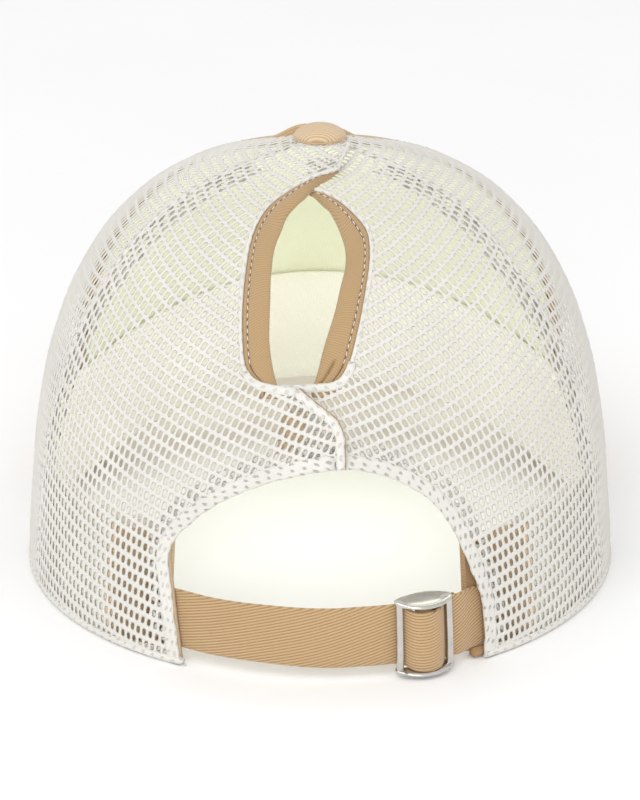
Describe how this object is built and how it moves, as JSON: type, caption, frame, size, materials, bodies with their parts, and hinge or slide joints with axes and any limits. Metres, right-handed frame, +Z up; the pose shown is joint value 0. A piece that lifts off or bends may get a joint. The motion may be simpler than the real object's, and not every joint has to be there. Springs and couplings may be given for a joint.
{
  "type": "trucker cap",
  "caption": "Trucker cap with white mesh back and sides, khaki twill front and peak, a bound hair slot above the rear opening, and a strap with a metal slide buckle.",
  "frame": {"origin": "middle of the whole hat's width and depth, on the surface that it stands on", "axes": "+Z up, the peak points to -Y, the rear opening to +Y, +X is the wearer's left"},
  "size_m": [0.1746, 0.2526, 0.1303],
  "materials": {
    "white_mesh": "knitted polyester mesh",
    "khaki_twill": "cotton twill",
    "khaki_tape": "cotton tape",
    "cream_lining": "stiffened cotton",
    "band_cotton": "brushed cotton",
    "satin_nickel": "satin nickel plate"
  },
  "bodies": {
    "root": {"front_panel_left": "khaki_twill", "front_panel_right": "khaki_twill", "side_panel_left": "white_mesh", "side_panel_right": "white_mesh", "back_panel_left": "white_mesh", "back_panel_right": "white_mesh", "front_lining": "cream_lining", "button": "khaki_twill", "sweatband": "band_cotton", "peak": "khaki_twill", "slot_facing_left": "khaki_twill", "slot_facing_right": "khaki_twill", "arch_facing_left": "khaki_tape", "arch_facing_right": "khaki_tape", "strap": "khaki_twill", "strap_loop": "khaki_tape", "buckle": "satin_nickel"}
  },
  "joints": []
}
